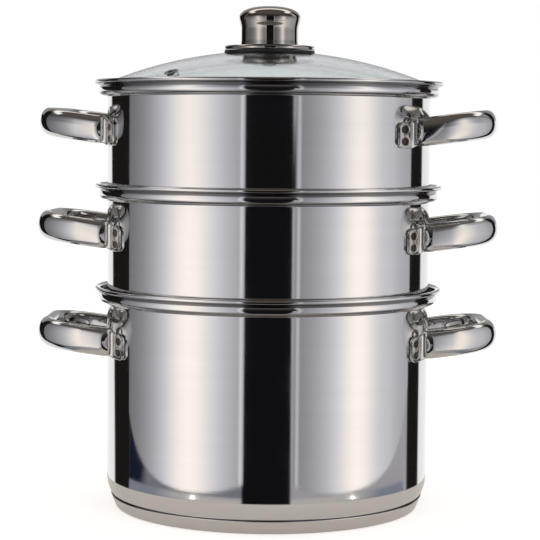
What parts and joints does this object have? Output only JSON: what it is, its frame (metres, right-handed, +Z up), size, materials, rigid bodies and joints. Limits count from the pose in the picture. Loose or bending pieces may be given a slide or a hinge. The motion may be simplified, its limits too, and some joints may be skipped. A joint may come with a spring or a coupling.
{
  "type": "steamer soup pot set",
  "caption": "Stainless steel soup pot with a sandwich base, stacked perforated steamer inserts, tube handles and a domed glass lid with a steel knob.",
  "frame": {"origin": "centre of the base's underside, where the pot's axis meets the surface that it stands on", "axes": "+Z up along the axis of the pot, the inserts and the lid; +X through the pot's right handle; the picture looks along +Y"},
  "size_m": [0.2868, 0.217, 0.3136],
  "materials": {
    "satin_steel": "polished along the turning lines, soft mirror",
    "bright_steel": "mirror polished",
    "smoked_steel": "dark mirror polished",
    "aluminium": "as rolled",
    "lid_glass": "clear tempered, pale green edge",
    "black_rubber": "matt silicone",
    "black_plastic": "moulded"
  },
  "bodies": {
    "pot": {"pot_body": "satin_steel", "base_core": "aluminium", "base_cap": "bright_steel", "pot_handle_right": "bright_steel", "pot_handle_left": "bright_steel"},
    "lower_steamer": {"lower_steamer_body": "satin_steel", "lower_steamer_handle_right": "bright_steel", "lower_steamer_handle_left": "bright_steel"},
    "upper_steamer": {"upper_steamer_body": "satin_steel", "upper_steamer_handle_right": "bright_steel", "upper_steamer_handle_left": "bright_steel"},
    "lid": {"lid_glass": "lid_glass", "lid_rim_band": "bright_steel", "vent_eyelet": "bright_steel", "knob_gasket": "black_rubber", "knob_base_plate": "bright_steel", "knob_shell": "smoked_steel", "knob_core": "black_plastic", "screw_washer": "bright_steel", "lid_screw": "bright_steel"}
  },
  "joints": [
    {"name": "lower_steamer_lift", "type": "slide", "parent": "pot", "child": "lower_steamer", "axis": [0, 0, 1], "range_m": [0, 0.12]},
    {"name": "upper_steamer_lift", "type": "slide", "parent": "lower_steamer", "child": "upper_steamer", "axis": [0, 0, 1], "range_m": [0, 0.12]},
    {"name": "lid_lift", "type": "slide", "parent": "upper_steamer", "child": "lid", "axis": [0, 0, 1], "range_m": [0, 0.12]}
  ]
}
